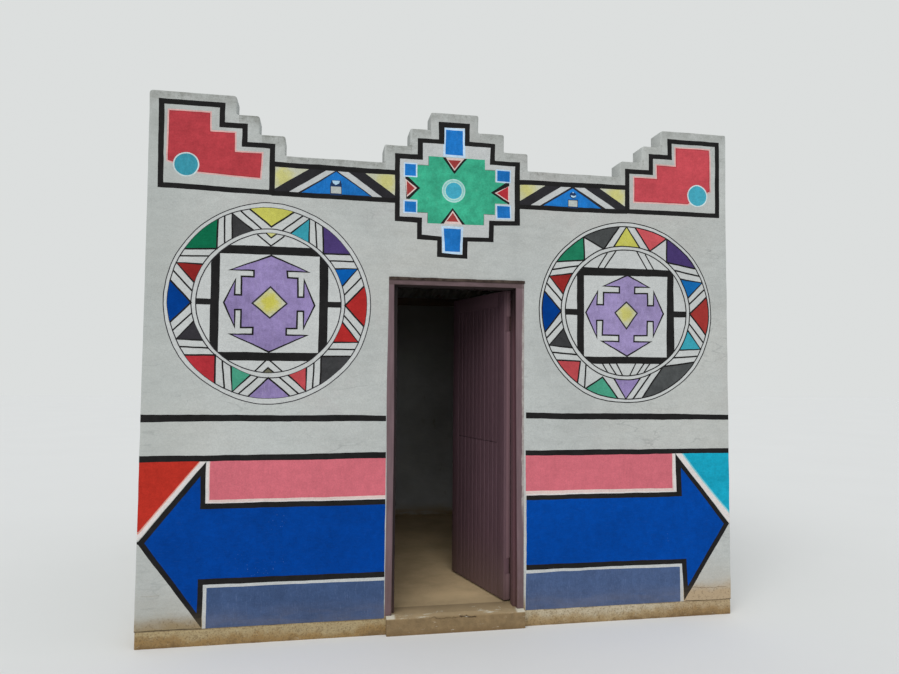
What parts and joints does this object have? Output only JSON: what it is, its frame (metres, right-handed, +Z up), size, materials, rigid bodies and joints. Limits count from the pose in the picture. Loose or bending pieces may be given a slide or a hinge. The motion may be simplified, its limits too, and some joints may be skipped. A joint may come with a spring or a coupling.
{
  "type": "painted one-room house",
  "caption": "Small rectangular one-room house: stepped parapet front with geometric wall painting, plastered walls, mono-pitch iron roof behind it and a boarded door that opens inward.",
  "frame": {"origin": "on the ground under the middle of the house's bounding box", "axes": "+Z up, -Y out of the painted front wall, +X along the front wall to the viewer's right"},
  "size_m": [3.886, 3.42, 3.363],
  "materials": {
    "wall_plaster": "limewashed and painted cement plaster, matt",
    "plinth_plaster": "bare plaster stained with soil, matt",
    "screed": "trowelled cement screed, worn",
    "threshold_concrete": "cast concrete with worn edge",
    "frame_paint": "brushed mauve-brown enamel, faded",
    "hinge_paint": "overpainted steel, worn",
    "door_wood": "brushed mauve paint on boards",
    "roof_timber": "sawn softwood, bare",
    "roof_iron": "galvanised, weathered, with a little rust"
  },
  "bodies": {
    "house": {"plinth_front_left": "plinth_plaster", "plinth_front_right": "plinth_plaster", "plinth_left": "plinth_plaster", "plinth_right": "plinth_plaster", "plinth_back": "plinth_plaster", "floor_slab": "screed", "door_threshold": "threshold_concrete", "front_wall_left": "wall_plaster", "front_wall_right": "wall_plaster", "front_wall_head": "wall_plaster", "parapet_left_block": "wall_plaster", "parapet_centre_block": "wall_plaster", "parapet_right_block": "wall_plaster", "left_wall": "wall_plaster", "right_wall": "wall_plaster", "back_wall": "wall_plaster", "door_jamb_lock": "frame_paint", "door_jamb_hinge": "frame_paint", "door_head": "frame_paint", "hinge_top_frame": "hinge_paint", "hinge_bottom_frame": "hinge_paint", "purlin_1": "roof_timber", "purlin_2": "roof_timber", "purlin_3": "roof_timber", "purlin_4": "roof_timber", "roof_sheet_1": "roof_iron", "roof_sheet_2": "roof_iron", "roof_sheet_3": "roof_iron", "roof_sheet_4": "roof_iron", "roof_sheet_5": "roof_iron", "roof_flashing": "roof_iron"},
    "door": {"hinge_top_leaf": "hinge_paint", "hinge_bottom_leaf": "hinge_paint", "door_stile_lock": "door_wood", "door_stile_hinge": "door_wood", "door_top_rail": "door_wood", "door_mid_rail": "door_wood", "door_bottom_rail": "door_wood", "door_boards_upper": "door_wood", "door_boards_lower": "door_wood"}
  },
  "joints": [
    {"name": "door_hinge", "type": "hinge", "parent": "house", "child": "door", "pos_m": [0.4015, -1.512, 1.16], "axis": [0, 0, -1], "range_deg": [-75, 95]}
  ]
}
